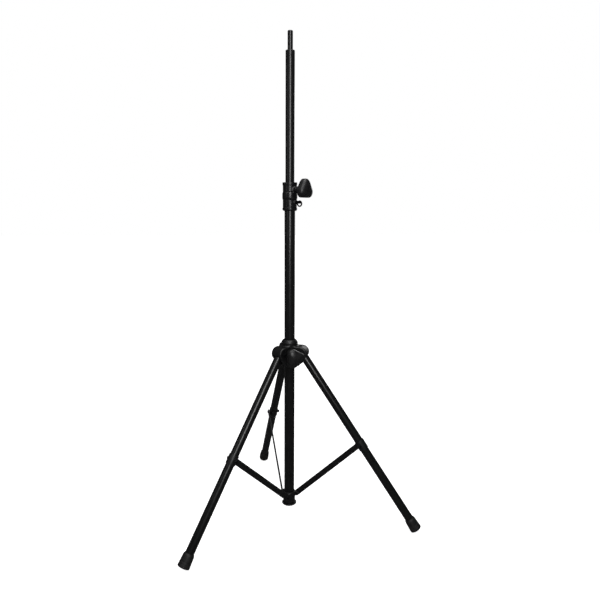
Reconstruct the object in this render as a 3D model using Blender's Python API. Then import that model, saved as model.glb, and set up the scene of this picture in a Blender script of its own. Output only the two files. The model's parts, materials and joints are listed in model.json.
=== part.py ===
"""Telescopic tripod stand that holds a loudspeaker, built piece by piece.

Lengths are in metres and +Z is up. The floor is z = 0 and the origin is the centre of the footprint.
The column stands on the vertical axis x = 0, y = COLUMN_Y. One leg points to +Y and the other two
are a third of a turn to each side of it. Each leg has a frame of its own, called a spoke: X runs
outwards from the column, Y runs counter-clockwise round it, seen from above, and Z runs up.
"""
import math

import bmesh
import bpy

GAP = 0.0003                  # clearance between pieces that touch on the real stand
COLUMN_SIDES = 24             # flats round the column's tubes and sleeves
LEG_SIDES = 20                # flats round the leg tubes and what fits them
SMALL_SIDES = 12              # flats round bolts, pins and holes
SHARP = math.radians(32)      # edges steeper than this stay sharp

# Column
WALL = 0.0012
OUTER_R, OUTER_BOTTOM, OUTER_TOP = 0.0210, 0.0560, 1.3350
MAST_R, MAST_BOTTOM, MAST_TOP = 0.0175, 0.7230, 1.8700
SHOULDER_TOP, SPIGOT_TOP, SPIGOT_R, SPIGOT_SEAT = 1.8730, 1.9430, 0.0100, 0.0010
PIN_HOLE_PITCH, PIN_HOLES = 0.1500, 3
COLLAR_BOTTOM, COLLAR_TOP, LIP_BOTTOM = 1.2800, 1.3890, 1.3795
COLLAR_TURN = math.radians(-52)
KNOB_Z, PIN_Z = 1.3610, 1.3130
PAD_R, PAD_THICK, GRUB_Z = 0.0050, 0.0025, 1.3070

# Clamping knobs: a stem that flares to a head with three rounded lobes
STEM_R, STEM_LENGTH, FLARE_END, RIM_END, KNOB_LENGTH = 0.0115, 0.0070, 0.0250, 0.0390, 0.0580
LOBE_OFFSET, LOBE_R, LOBE_STEPS = 0.0198, 0.0210, 7
SCREW_R, SCREW_IN_KNOB = 0.0040, 0.0240
COLLAR_KNOB_BASE, HUB_KNOB_BASE = 0.0375, 0.0495
COLLAR_LOBE, HUB_LOBE = math.radians(180), math.radians(93)

# Safety pin, whose forked end holds a cross rod with the pull ring hanging on it
PIN_R, PIN_END, FORK_START, FORK_R, FORK_SLOT = 0.0040, 0.0515, 0.0338, 0.0062, 0.0064
ROD_R, ROD_HALF, ROD_AT, RING_R, WIRE_R, RING_STEPS = 0.0014, 0.0055, 0.0472, 0.0098, 0.0028, 24

# Hub that slides on the column and carries the legs
HUB_R, HUB_BOTTOM, HUB_SHOULDER, HUB_TOP = 0.0335, 0.6550, 0.7520, 0.7650
LINER_R = 0.0233
PIVOT_R, PIVOT_Z = 0.0505, 0.7138
LOBE_HALF, POCKET_HALF, ROOF_IN, ROOF_OUT, LOBE_BOTTOM = 0.0270, 0.0183, 0.0185, 0.0270, 0.6620
BOLT_R, BOLT_HEAD_R, BOLT_HEAD = 0.0040, 0.0070, 0.0050
HUB_KNOB_TURN, HUB_KNOB_Z, HUB_BOSS_R, HUB_BOSS_END = math.radians(-90), 0.7060, 0.0150, 0.0490

# Legs
LEG_NAMES = {"rear": 90, "left": 210, "right": 330}
LEG_TILT, LEG_R = math.radians(34.5), 0.0170
TUBE_ABOVE_PIVOT, PLUG_BELOW, DOME_R = 0.0060, 0.0300, 0.0176
FOOT_END_Z, FOOT_LENGTH, FOOT_FLOOR = 0.0116, 0.0515, 0.0120
FOOT_TOP_R, FOOT_END_R, FOOT_RAMP, FOOT_ROUND = 0.0213, 0.0235, 0.0070, 0.0015
LEG_LENGTH = (PIVOT_Z - FOOT_END_Z) / math.cos(LEG_TILT)

# Braces between the legs and the bottom collar, flat bars beside the legs
BRACE_FOOT_R, BRACE_FOOT_Z = 0.0300, 0.0894
BRACKET_AT = 0.4462
BRACE_WIDTH, BRACE_IN, BRACE_OUT, BESIDE = 0.0240, 0.0216, 0.0246, 0.0213
SLEEVE_R, SLEEVE_HALF, BRACKET_BOSS_R, BRACKET_BOSS_IN = 0.0195, 0.0190, 0.0085, 0.0172
BRACE_BOLT_R, BRACE_HEAD_R, BRACE_HEAD_END = 0.0030, 0.0065, 0.0290
BRACKET_R = PIVOT_R + BRACKET_AT * math.sin(LEG_TILT)
BRACKET_Z = PIVOT_Z - BRACKET_AT * math.cos(LEG_TILT)
BRACE_TILT = math.atan2(BRACKET_R - BRACE_FOOT_R, BRACKET_Z - BRACE_FOOT_Z)
BRACE_LENGTH = math.hypot(BRACKET_R - BRACE_FOOT_R, BRACKET_Z - BRACE_FOOT_Z)
BOTTOM_COLLAR_R, BOTTOM_COLLAR_LOW, BOTTOM_COLLAR_HIGH = 0.0250, 0.0560, 0.1050
LUG_IN, LUG_R = 0.0080, 0.0090
CAP_R, CAP_LOW, CAP_HIGH, CAP_PLUG_TOP = 0.0305, 0.0490, 0.0557, 0.0790

# Footprint: how far the rear foot and the two front feet reach along Y from the column
FOOT_REACH = PIVOT_R + LEG_LENGTH * math.sin(LEG_TILT)
REAR_REACH = FOOT_REACH + FOOT_END_R * math.cos(LEG_TILT)
FRONT_REACH = FOOT_REACH / 2 + FOOT_END_R * math.hypot(math.cos(LEG_TILT) / 2, math.sqrt(3) / 2)
COLUMN_Y = (FRONT_REACH - REAR_REACH) / 2

FINISHES = {                  # colour, roughness, metallic
    "powder_coat": ((0.020, 0.020, 0.021), 0.42, 0.0),
    "moulding": ((0.014, 0.014, 0.015), 0.38, 0.0),
    "rubber": ((0.012, 0.012, 0.012), 0.85, 0.0),
    "nylon": ((0.030, 0.030, 0.030), 0.50, 0.0),
    "black_steel": ((0.030, 0.030, 0.032), 0.35, 1.0),
}


def circle(radius, height, sides, start=0.0):
    """Points of a level circle round Z."""
    turn = 2 * math.pi / sides
    return [(radius * math.cos(start + i * turn), radius * math.sin(start + i * turn), height)
            for i in range(sides)]


def arc(centre, radius, first, last, steps):
    """Points of an arc about a centre, by angles in degrees."""
    angles = [math.radians(first + (last - first) * i / steps) for i in range(steps + 1)]
    return [(centre[0] + radius * math.cos(a), centre[1] + radius * math.sin(a)) for a in angles]


def skin(rings, closed=False):
    """A surface through rings of equal count, capped at both ends, or joined end to end if closed."""
    mesh = bmesh.new()
    loops = [[mesh.verts.new(point) for point in points] for points in rings]
    following = loops[1:] + loops[:1] if closed else loops[1:]
    for low, high in zip(loops, following):
        for i, j in zip(range(len(low)), [*range(1, len(low)), 0]):
            mesh.faces.new((low[i], low[j], high[j], high[i]))
    if not closed:
        mesh.faces.new(loops[0])
        mesh.faces.new(loops[-1])
    bmesh.ops.recalc_face_normals(mesh, faces=mesh.faces)
    return mesh


def turned(profile, sides, closed=False):
    """A profile of (radius, height) points turned round Z."""
    return skin([circle(radius, height, sides) for radius, height in profile], closed)


def rod(radius, low, high, sides=SMALL_SIDES, start=0.0):
    """A solid cylinder along Z."""
    return skin([circle(radius, low, sides, start), circle(radius, high, sides, start)])


def sleeve(inner, outer, low, high, sides):
    """A plain tube along Z."""
    return turned([(inner, low), (outer, low), (outer, high), (inner, high)], sides, closed=True)


def slab(outline, low, high):
    """An outline of (x, z) points given thickness along Y."""
    return skin([[(x, low, z) for x, z in outline], [(x, high, z) for x, z in outline]])


def put(name, mesh, parent, location=(0, 0, 0), rotation=(0, 0, 0)):
    """Turn a bmesh into an object under a parent."""
    data = bpy.data.meshes.new(name)
    mesh.to_mesh(data)
    mesh.free()
    data.shade_smooth()
    data.set_sharp_from_angle(angle=SHARP)
    part = bpy.data.objects.new(name, data)
    bpy.context.scene.collection.objects.link(part)
    part.parent = parent
    part.location = location
    part.rotation_euler = rotation
    return part


def piece(name, finish, mesh, parent, location=(0, 0, 0), rotation=(0, 0, 0)):
    """A real piece of the stand, with a material of its own."""
    part = put(name, mesh, parent, location, rotation)
    colour, roughness, metallic = FINISHES[finish]
    material = bpy.data.materials.new(f"{name}_{finish}")
    material.use_nodes = True
    shader = material.node_tree.nodes["Principled BSDF"]
    shader.inputs["Base Color"].default_value = (*colour, 1.0)
    shader.inputs["Roughness"].default_value = roughness
    shader.inputs["Metallic"].default_value = metallic
    part.data.materials.append(material)
    return part


def helper(name, mesh, parent, location=(0, 0, 0), rotation=(0, 0, 0)):
    """A shape used only to add to or cut another one."""
    part = put(name, mesh, parent, location, rotation)
    part.hide_render = True
    part.display_type = "WIRE"
    return part


def combine(part, operation, *tools):
    """Add or cut helpers, in order."""
    for tool in tools:
        modifier = part.modifiers.new(f"{operation} {tool.name}", "BOOLEAN")
        modifier.operation = operation
        modifier.solver = "EXACT"
        modifier.object = tool


def frame(name, parent=None, location=(0, 0, 0), rotation=(0, 0, 0)):
    """An empty that carries pieces, placed on an axis of the stand."""
    empty = bpy.data.objects.new(name, None)
    bpy.context.scene.collection.objects.link(empty)
    empty.parent = parent
    empty.location = location
    empty.rotation_euler = rotation
    return empty


def outward(name, parent, turn, height):
    """A frame whose Z runs straight out from the column, X down and Y round it."""
    side = frame(f"{name}_side", parent, (0, 0, 0), (0, 0, turn))
    return frame(name, side, (0, 0, height), (0, math.pi / 2, 0))


def across(radius, low, high, sides=SMALL_SIDES):
    """A solid cylinder along Y."""
    outline = [(x, z) for x, z, _ in circle(radius, 0, sides)]
    return slab(outline, low, high)


def lobed_ring(offset, radius, height, phase):
    """A rounded triangle: three arcs about centres that stand off the axis."""
    points = []
    for lobe in range(3):
        towards = phase + lobe * 2 * math.pi / 3
        centre = (offset * math.cos(towards), offset * math.sin(towards))
        for step in range(LOBE_STEPS):
            angle = towards + 2 * math.pi / 3 * ((step + 0.5) / LOBE_STEPS - 0.5)
            points.append((centre[0] + radius * math.cos(angle),
                           centre[1] + radius * math.sin(angle), height))
    return points


def knob_mesh(base, phase):
    """Knob with a blind hole for its screw, from the hole's floor round to the domed face."""
    hole = SCREW_R + GAP
    rings = [lobed_ring(0, hole, base + SCREW_IN_KNOB + GAP, phase), lobed_ring(0, hole, base, phase),
             lobed_ring(0, STEM_R, base, phase), lobed_ring(0, STEM_R, base + STEM_LENGTH, phase)]
    for step in range(1, 4):
        share = step / 3
        spread = share ** 0.8
        height = base + STEM_LENGTH + (FLARE_END - STEM_LENGTH) * share
        rings.append(lobed_ring(LOBE_OFFSET * spread, STEM_R + (LOBE_R - 0.001 - STEM_R) * spread,
                                height, phase))
    rings.append(lobed_ring(LOBE_OFFSET, LOBE_R, base + FLARE_END + 0.002, phase))
    for angle in (0, 25, 50, 70):
        lift, shrink = math.sin(math.radians(angle)), math.cos(math.radians(angle))
        rings.append(lobed_ring(LOBE_OFFSET * shrink, LOBE_R * shrink,
                                base + RIM_END + (KNOB_LENGTH - RIM_END) * lift, phase))
    return skin(rings)


def build_column(column, collar_knob, collar_pin):
    """Outer tube with its height collar at the top, and its bottom collar and end cap below."""
    tube = piece("outer_tube", "powder_coat",
                 sleeve(OUTER_R - WALL, OUTER_R, OUTER_BOTTOM, OUTER_TOP, COLUMN_SIDES), column)
    combine(tube, "DIFFERENCE",
            helper("tube_pin_hole", rod(PIN_R + GAP, OUTER_R / 2, 2 * OUTER_R), collar_pin))

    collar = piece("height_collar", "moulding", turned([
        (0.0240, COLLAR_BOTTOM), (0.0290, COLLAR_BOTTOM + 0.004), (0.0290, 1.2920), (0.0272, 1.2932),
        (0.02765, 1.2944), (0.02765, 1.3205), (0.0266, 1.3218), (0.0285, 1.3235), (0.0296, 1.3300),
        (0.0296, 1.3450), (0.0285, 1.3510), (0.0266, 1.3525), (0.02765, 1.3540), (0.02765, 1.3780),
        (0.0290, 1.3790), (0.0290, COLLAR_TOP - 0.001), (0.0280, COLLAR_TOP)], COLUMN_SIDES), column)
    combine(collar, "UNION",
            helper("knob_boss", rod(0.0130, 0.0220, COLLAR_KNOB_BASE - 0.001, LEG_SIDES), collar_knob),
            helper("pin_boss", rod(0.0085, 0.0220, 0.0335, LEG_SIDES), collar_pin))
    grub = outward("grub_axis", column, COLLAR_TURN + math.pi, GRUB_Z)
    combine(collar, "DIFFERENCE",
            helper("collar_bore", rod(OUTER_R + GAP, COLLAR_BOTTOM - 0.01, LIP_BOTTOM, COLUMN_SIDES),
                   column),
            helper("collar_mouth", rod(MAST_R + 2 * GAP, LIP_BOTTOM - 0.01, COLLAR_TOP + 0.01,
                                       COLUMN_SIDES), column),
            helper("knob_screw_hole", rod(SCREW_R + GAP, 0.010, 0.050), collar_knob),
            helper("pin_hole", rod(PIN_R + GAP, 0.010, 0.050), collar_pin),
            helper("grub_hole", rod(0.0028, 0.010, 0.050), grub))
    piece("collar_grub_screw", "black_steel", rod(0.0025, OUTER_R + GAP, 0.0275), grub)

    bush = piece("collar_bush", "nylon",
                 sleeve(MAST_R + GAP, OUTER_R, OUTER_TOP + GAP, LIP_BOTTOM - GAP, COLUMN_SIDES), column)
    combine(bush, "DIFFERENCE",
            helper("bush_window", rod(PAD_R + GAP, 0.010, 0.030), collar_knob))
    piece("collar_pressure_pad", "nylon", rod(PAD_R, MAST_R + GAP, MAST_R + GAP + PAD_THICK),
          collar_knob)

    piece("bottom_cap", "moulding", turned([
        (CAP_R - 0.002, CAP_LOW), (CAP_R, CAP_LOW + 0.002), (CAP_R, CAP_HIGH - 0.002),
        (CAP_R - 0.002, CAP_HIGH), (OUTER_R - WALL - GAP, CAP_HIGH),
        (OUTER_R - WALL - GAP, CAP_PLUG_TOP)], COLUMN_SIDES), column)
    return piece("bottom_collar", "moulding", turned([
        (BOTTOM_COLLAR_R, BOTTOM_COLLAR_LOW), (BOTTOM_COLLAR_R, BOTTOM_COLLAR_HIGH - 0.002),
        (BOTTOM_COLLAR_R - 0.002, BOTTOM_COLLAR_HIGH)], COLUMN_SIDES), column)


def build_mast(column, collar_pin):
    """Inner tube that slides in the column, with the plug and the spigot that a loudspeaker fits."""
    mast = frame("mast_axis", column)
    tube = piece("inner_tube", "powder_coat",
                 sleeve(MAST_R - WALL, MAST_R, MAST_BOTTOM, MAST_TOP, COLUMN_SIDES), mast)
    for index in range(PIN_HOLES):
        hole = helper(f"mast_pin_hole_{index + 1}", rod(PIN_R + GAP, -0.030, 0.030), collar_pin,
                      (index * PIN_HOLE_PITCH, 0, 0))
        combine(tube, "DIFFERENCE", hole)
    bore = MAST_R - WALL - GAP
    stud_r, stud_depth, seat = 0.0050, 0.0250, SHOULDER_TOP - SPIGOT_SEAT
    plug = piece("top_plug", "moulding", turned([
        (bore, MAST_TOP - 0.040), (bore, MAST_TOP + GAP), (MAST_R, MAST_TOP + GAP),
        (MAST_R, SHOULDER_TOP - 0.001), (MAST_R - 0.001, SHOULDER_TOP)], COLUMN_SIDES), mast)
    combine(plug, "DIFFERENCE",
            helper("stud_hole", rod(stud_r + GAP, SHOULDER_TOP - stud_depth - GAP, SHOULDER_TOP + 0.01),
                   mast),
            helper("spigot_seat", rod(SPIGOT_R + GAP, seat - GAP, SHOULDER_TOP + 0.01, LEG_SIDES), mast))
    piece("spigot", "powder_coat", turned([
        (stud_r, SHOULDER_TOP - stud_depth), (stud_r, seat), (SPIGOT_R, seat),
        (SPIGOT_R, SPIGOT_TOP - 0.0015), (SPIGOT_R - 0.0015, SPIGOT_TOP)], LEG_SIDES), mast)
    piece("mast_guide_bush", "nylon",
          sleeve(MAST_R + GAP, OUTER_R - WALL - GAP, MAST_BOTTOM, MAST_BOTTOM + 0.040, COLUMN_SIDES),
          mast)


def build_clamp(name, axis, base, phase, tip):
    """Knob and the screw moulded into it, whose end presses on the pad."""
    piece(name, "moulding", knob_mesh(base, phase), axis)
    piece(f"{name}_screw", "black_steel", rod(SCREW_R, tip, base + SCREW_IN_KNOB), axis)


def build_safety_pin(axis):
    """Pin with a forked end, the rod across the fork, and the ring that hangs on the rod."""
    pin = piece("safety_pin", "black_steel", turned([
        (PIN_R, MAST_R + GAP), (PIN_R, FORK_START), (FORK_R, FORK_START),
        (FORK_R, PIN_END - 0.001), (FORK_R - 0.001, PIN_END)], SMALL_SIDES), axis)
    slot_floor = ROD_AT - RING_R - WIRE_R - 2 * GAP
    combine(pin, "DIFFERENCE",
            helper("fork_slot", slab([(-0.02, slot_floor), (0.02, slot_floor), (0.02, 0.06),
                                      (-0.02, 0.06)], -FORK_SLOT / 2, FORK_SLOT / 2), axis),
            helper("rod_hole", across(ROD_R + GAP, -0.01, 0.01), axis, (0, 0, ROD_AT)))
    piece("pin_cross_rod", "black_steel", across(ROD_R, -ROD_HALF, ROD_HALF), axis, (0, 0, ROD_AT))
    hang = frame("ring_pivot", axis, (0, 0, ROD_AT))
    drop = RING_R - WIRE_R - ROD_R - GAP
    wire = []
    for step in range(RING_STEPS):
        angle = 2 * math.pi * step / RING_STEPS
        wire.append([(drop + (RING_R + WIRE_R * math.cos(a)) * math.cos(angle), WIRE_R * math.sin(a),
                      (RING_R + WIRE_R * math.cos(a)) * math.sin(angle))
                     for a in (math.pi * i / 3 for i in range(6))])
    piece("pull_ring", "black_steel", skin(wire, closed=True), hang)


def build_hub(column, spokes, hub_knob):
    """Sliding hub with a pocket for each leg, its liner, the pad and the three pivot bolts."""
    hub = frame("hub_axis", column)
    casting = piece("hub_casting", "moulding", turned([
        (HUB_R - 0.003, HUB_BOTTOM), (HUB_R, HUB_BOTTOM + 0.003), (HUB_R, HUB_SHOULDER),
        (0.0320, 0.7575), (0.0290, 0.7620), (0.0255, HUB_TOP)], COLUMN_SIDES), hub)
    combine(casting, "UNION",
            helper("hub_boss", rod(HUB_BOSS_R, 0.0260, HUB_BOSS_END, LEG_SIDES), hub_knob))
    roof_top = PIVOT_Z + ROOF_OUT
    lobe_outline = [(0.0250, LOBE_BOTTOM), (0.0450, LOBE_BOTTOM),
                    *arc((PIVOT_R, PIVOT_Z), ROOF_OUT, -45, 90, 9), (0.0250, roof_top)]
    far = 0.100
    below = 0.080
    edge = (PIVOT_R + ROOF_IN * math.cos(LEG_TILT) + far * math.sin(LEG_TILT),
            PIVOT_Z + ROOF_IN * math.sin(LEG_TILT) - far * math.cos(LEG_TILT))
    pocket_outline = [(PIVOT_R - ROOF_IN, PIVOT_Z - below), edge,
                      *arc((PIVOT_R, PIVOT_Z), ROOF_IN, math.degrees(LEG_TILT), 180, 12)]
    lobes, pockets = [], []
    for side, spoke in spokes.items():
        lobe = helper(f"hub_lobe_{side}", slab(lobe_outline, -LOBE_HALF, LOBE_HALF), spoke)
        bevel = lobe.modifiers.new("rounded edges", "BEVEL")
        bevel.width = 0.0030
        bevel.segments = 1
        bevel.limit_method = "ANGLE"
        bevel.angle_limit = math.radians(60)
        lobes.append(lobe)
        pockets.append(helper(f"hub_pocket_{side}",
                              slab(pocket_outline, -POCKET_HALF, POCKET_HALF), spoke))
        pockets.append(helper(f"hub_bolt_hole_{side}", across(BOLT_R + GAP, -0.040, 0.040), spoke,
                              (PIVOT_R, 0, PIVOT_Z)))
    combine(casting, "UNION", *lobes)
    combine(casting, "DIFFERENCE",
            helper("hub_bore", rod(LINER_R + GAP, HUB_BOTTOM - 0.01, HUB_TOP + 0.01, COLUMN_SIDES),
                   column),
            helper("hub_screw_hole", rod(SCREW_R + GAP, 0.010, 0.060), hub_knob), *pockets)
    liner = piece("hub_liner", "nylon",
                  sleeve(OUTER_R + GAP, LINER_R, HUB_BOTTOM + 0.002, HUB_TOP - 0.003, COLUMN_SIDES), hub)
    combine(liner, "DIFFERENCE",
            helper("liner_window", rod(PAD_R + GAP, 0.010, 0.030), hub_knob))
    piece("hub_pressure_pad", "nylon", rod(PAD_R, OUTER_R + GAP, OUTER_R + GAP + 0.0015), hub_knob)
    for side, spoke in spokes.items():
        head = LOBE_HALF + GAP
        bolt = piece(f"pivot_bolt_{side}", "black_steel", across(BOLT_R, -head - 0.008, head + 0.001),
                     spoke, (PIVOT_R, 0, PIVOT_Z))
        combine(bolt, "UNION",
                helper(f"pivot_bolt_head_{side}", across(BOLT_HEAD_R, head, head + BOLT_HEAD, 6), spoke,
                       (PIVOT_R, 0, PIVOT_Z)))
        nut = piece(f"pivot_nut_{side}", "black_steel",
                    across(BOLT_HEAD_R, -head - 0.0065, -head, 6), spoke, (PIVOT_R, 0, PIVOT_Z))
        combine(nut, "DIFFERENCE",
                helper(f"pivot_nut_hole_{side}", across(BOLT_R + GAP, -0.050, 0.0), spoke,
                       (PIVOT_R, 0, PIVOT_Z)))


def build_leg(side, spoke, floor):
    """Leg tube with its top plug, the brace bracket with its bolt and nut, and the rubber foot."""
    leg = frame(f"leg_{side}_pivot", spoke, (PIVOT_R, 0, PIVOT_Z), (0, -LEG_TILT, 0))
    end = -LEG_LENGTH
    tube = piece(f"leg_tube_{side}", "powder_coat",
                 sleeve(LEG_R - WALL, LEG_R, end + FOOT_FLOOR + GAP, TUBE_ABOVE_PIVOT, LEG_SIDES), leg)
    pivot_hole = helper(f"leg_pivot_hole_{side}", across(BOLT_R + 0.0004, -0.030, 0.030), leg)
    bracket_hole = helper(f"leg_bracket_hole_{side}", across(BRACE_BOLT_R + GAP, -0.040, 0.040), leg,
                          (0, 0, -BRACKET_AT))
    combine(tube, "DIFFERENCE", pivot_hole, bracket_hole)

    bore = LEG_R - WALL - GAP
    collar_angle = math.degrees(math.asin((TUBE_ABOVE_PIVOT + GAP) / DOME_R))
    plug = piece(f"leg_plug_{side}", "moulding", turned([
        (bore, -PLUG_BELOW), (bore, TUBE_ABOVE_PIVOT + GAP),
        *arc((0, 0), DOME_R, collar_angle, 80, 4)], LEG_SIDES), leg)
    combine(plug, "DIFFERENCE", pivot_hole)

    middle = -BRACKET_AT
    bracket = piece(f"leg_bracket_{side}", "moulding", sleeve(
        LEG_R + GAP, SLEEVE_R, middle - SLEEVE_HALF, middle + SLEEVE_HALF, LEG_SIDES), leg)
    combine(bracket, "UNION",
            helper(f"bracket_boss_{side}", across(BRACKET_BOSS_R, BRACKET_BOSS_IN, BESIDE), leg,
                   (0, 0, middle)))
    combine(bracket, "DIFFERENCE", bracket_hole)
    nut_face, nut_end = -SLEEVE_R - GAP, -SLEEVE_R - 0.0075
    piece(f"bracket_bolt_{side}", "black_steel",
          across(BRACE_BOLT_R, nut_end - 0.0015, BESIDE - GAP), leg, (0, 0, middle))
    nut = piece(f"bracket_nut_{side}", "black_steel", across(BRACE_HEAD_R, nut_end, nut_face, 6), leg,
                (0, 0, middle))
    combine(nut, "DIFFERENCE", bracket_hole)

    mouth = end + FOOT_LENGTH
    foot = piece(f"foot_{side}", "rubber", turned([
        (LEG_R + GAP, end + FOOT_FLOOR), (LEG_R + GAP, mouth), (LEG_R + 0.0012, mouth),
        (FOOT_TOP_R, mouth - FOOT_RAMP), (FOOT_END_R, end + FOOT_ROUND),
        (FOOT_END_R - 0.3 * FOOT_ROUND, end + 0.3 * FOOT_ROUND), (FOOT_END_R - FOOT_ROUND, end)],
        LEG_SIDES), leg)
    combine(foot, "DIFFERENCE", floor)


def build_brace(side, spoke, bottom_collar):
    """Flat bar from a lug on the bottom collar to the leg's bracket, with a bolt at each end."""
    lug_outline = [(0.0120, BRACE_FOOT_Z - LUG_R), *arc((BRACE_FOOT_R, BRACE_FOOT_Z), LUG_R, -90, 90, 8),
                   (0.0120, BRACE_FOOT_Z + LUG_R)]
    combine(bottom_collar, "UNION", helper(f"lug_{side}", slab(lug_outline, LUG_IN, BESIDE), spoke))
    brace = frame(f"brace_{side}_pivot", spoke, (BRACE_FOOT_R, 0, BRACE_FOOT_Z), (0, BRACE_TILT, 0))
    half = BRACE_WIDTH / 2
    bar = piece(f"brace_bar_{side}", "powder_coat", slab(
        [*arc((0, 0), half, 180, 360, 8), *arc((0, BRACE_LENGTH), half, 0, 180, 8)],
        BRACE_IN, BRACE_OUT), brace)
    combine(bar, "DIFFERENCE",
            helper(f"bar_low_hole_{side}", across(BRACE_BOLT_R + 0.0004, 0.010, 0.030), brace),
            helper(f"bar_high_hole_{side}", across(BRACE_BOLT_R + GAP, 0.010, 0.030), brace,
                   (0, 0, BRACE_LENGTH)))
    head = BRACE_OUT + GAP
    low_bolt = piece(f"brace_foot_bolt_{side}", "black_steel",
                     across(BRACE_BOLT_R, LUG_IN - 0.002, head + 0.001), spoke,
                     (BRACE_FOOT_R, 0, BRACE_FOOT_Z))
    combine(low_bolt, "UNION",
            helper(f"foot_bolt_head_{side}", across(BRACE_HEAD_R, head, head + 0.0035, LEG_SIDES),
                   spoke, (BRACE_FOOT_R, 0, BRACE_FOOT_Z)))
    top_bolt = piece(f"brace_top_bolt_{side}", "black_steel",
                     across(BRACE_BOLT_R, BRACE_IN, head + 0.001), brace, (0, 0, BRACE_LENGTH))
    combine(top_bolt, "UNION",
            helper(f"top_bolt_head_{side}", across(BRACE_HEAD_R, head, BRACE_HEAD_END, LEG_SIDES),
                   brace, (0, 0, BRACE_LENGTH)))
    return helper(f"lug_hole_{side}", across(BRACE_BOLT_R + GAP, 0.0, 0.030), spoke,
                  (BRACE_FOOT_R, 0, BRACE_FOOT_Z))


for old in list(bpy.data.objects):
    bpy.data.objects.remove(old)

column_axis = frame("column_axis", None, (0, COLUMN_Y, 0))
collar_knob_axis = outward("collar_knob_axis", column_axis, COLLAR_TURN, KNOB_Z)
collar_pin_axis = outward("collar_pin_axis", column_axis, COLLAR_TURN, PIN_Z)
hub_knob_axis = outward("hub_knob_axis", column_axis, HUB_KNOB_TURN, HUB_KNOB_Z)
leg_spokes = {name: frame(f"spoke_{name}", column_axis, (0, 0, 0), (0, 0, math.radians(turn)))
              for name, turn in LEG_NAMES.items()}
floor_cutter = helper("floor_cutter", slab([(-1, -0.1), (1, -0.1), (1, 0), (-1, 0)], -1, 1), None)

lower_collar = build_column(column_axis, collar_knob_axis, collar_pin_axis)
build_mast(column_axis, collar_pin_axis)
build_clamp("collar_knob", collar_knob_axis, COLLAR_KNOB_BASE, COLLAR_LOBE,
            MAST_R + PAD_THICK + 2 * GAP)
build_safety_pin(collar_pin_axis)
build_hub(column_axis, leg_spokes, hub_knob_axis)
build_clamp("hub_knob", hub_knob_axis, HUB_KNOB_BASE, HUB_LOBE, OUTER_R + 0.0015 + 2 * GAP)
lug_holes = []
for leg_name, leg_spoke in leg_spokes.items():
    build_leg(leg_name, leg_spoke, floor_cutter)
    lug_holes.append(build_brace(leg_name, leg_spoke, lower_collar))
collar_sleeve = helper("bottom_collar_bore",
                       rod(OUTER_R + GAP, BOTTOM_COLLAR_LOW - 0.01, BOTTOM_COLLAR_HIGH + 0.01,
                           COLUMN_SIDES), column_axis)
combine(lower_collar, "DIFFERENCE", collar_sleeve, *lug_holes)
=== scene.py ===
"""Looks of a tripod loudspeaker stand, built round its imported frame. Lengths are in metres."""
import json
import math

import bmesh
import bpy
import numpy as np
from mathutils import Matrix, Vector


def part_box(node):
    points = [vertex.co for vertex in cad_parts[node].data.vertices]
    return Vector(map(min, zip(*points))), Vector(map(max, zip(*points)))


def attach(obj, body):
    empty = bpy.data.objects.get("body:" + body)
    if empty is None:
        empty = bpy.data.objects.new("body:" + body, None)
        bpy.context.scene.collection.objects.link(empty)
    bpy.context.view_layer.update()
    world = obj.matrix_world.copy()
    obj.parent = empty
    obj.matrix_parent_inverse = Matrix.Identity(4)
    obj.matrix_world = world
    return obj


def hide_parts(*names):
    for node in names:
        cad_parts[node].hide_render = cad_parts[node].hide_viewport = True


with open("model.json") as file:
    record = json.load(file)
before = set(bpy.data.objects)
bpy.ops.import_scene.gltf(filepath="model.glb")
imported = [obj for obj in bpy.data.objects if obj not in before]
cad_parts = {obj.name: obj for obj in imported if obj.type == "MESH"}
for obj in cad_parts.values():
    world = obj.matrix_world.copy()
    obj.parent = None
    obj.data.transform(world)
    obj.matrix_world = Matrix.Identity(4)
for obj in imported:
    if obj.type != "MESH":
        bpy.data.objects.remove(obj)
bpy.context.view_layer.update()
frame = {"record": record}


# ---- Studio -------------------------------------------------------------------------------------
# A pale floor that runs out of sight. A tall softbox stands behind the camera, above its height, with
# one overhead and weak ones to the left and behind. The camera is at chest height, left of the front.
CAMERA_AWAY, CAMERA_HEIGHT = 2.135, 1.2670
CAMERA_ROUND, CAMERA_ASIDE = math.radians(14.44), math.radians(1.117)
CAMERA_DOWN, CAMERA_ROLL = math.radians(9.06), math.radians(0.307)
CAMERA_LENS, SENSOR_WIDTH = 32.23, 36.0


def box(node):
    """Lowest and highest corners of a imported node."""
    return [np.array(corner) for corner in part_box(node)]


tube_low, tube_high = box("outer_tube")
column = np.array([*(tube_low + tube_high)[:2] / 2, 0.0])
UP = np.array([0.0, 0.0, 1.0])


def heading(turn):
    """Level direction that is +Y turned clockwise, seen from above."""
    return np.array([math.sin(turn), math.cos(turn), 0.0])


def aim(thing, place, forward, roll=0.0):
    """Put a camera or a light at a place, with its -Z along forward and its Y as near up as it goes."""
    forward = forward / np.linalg.norm(forward)
    right = np.cross(forward, UP if abs(forward[2]) < 0.99 else heading(0))
    right /= np.linalg.norm(right)
    above = np.cross(right, forward)
    right, above = (right * math.cos(roll) + above * math.sin(roll),
                    above * math.cos(roll) - right * math.sin(roll))
    turn = Matrix(np.column_stack([right, above, -forward]).tolist()).to_4x4()
    thing.matrix_world = Matrix.Translation(place.tolist()) @ turn


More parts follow.
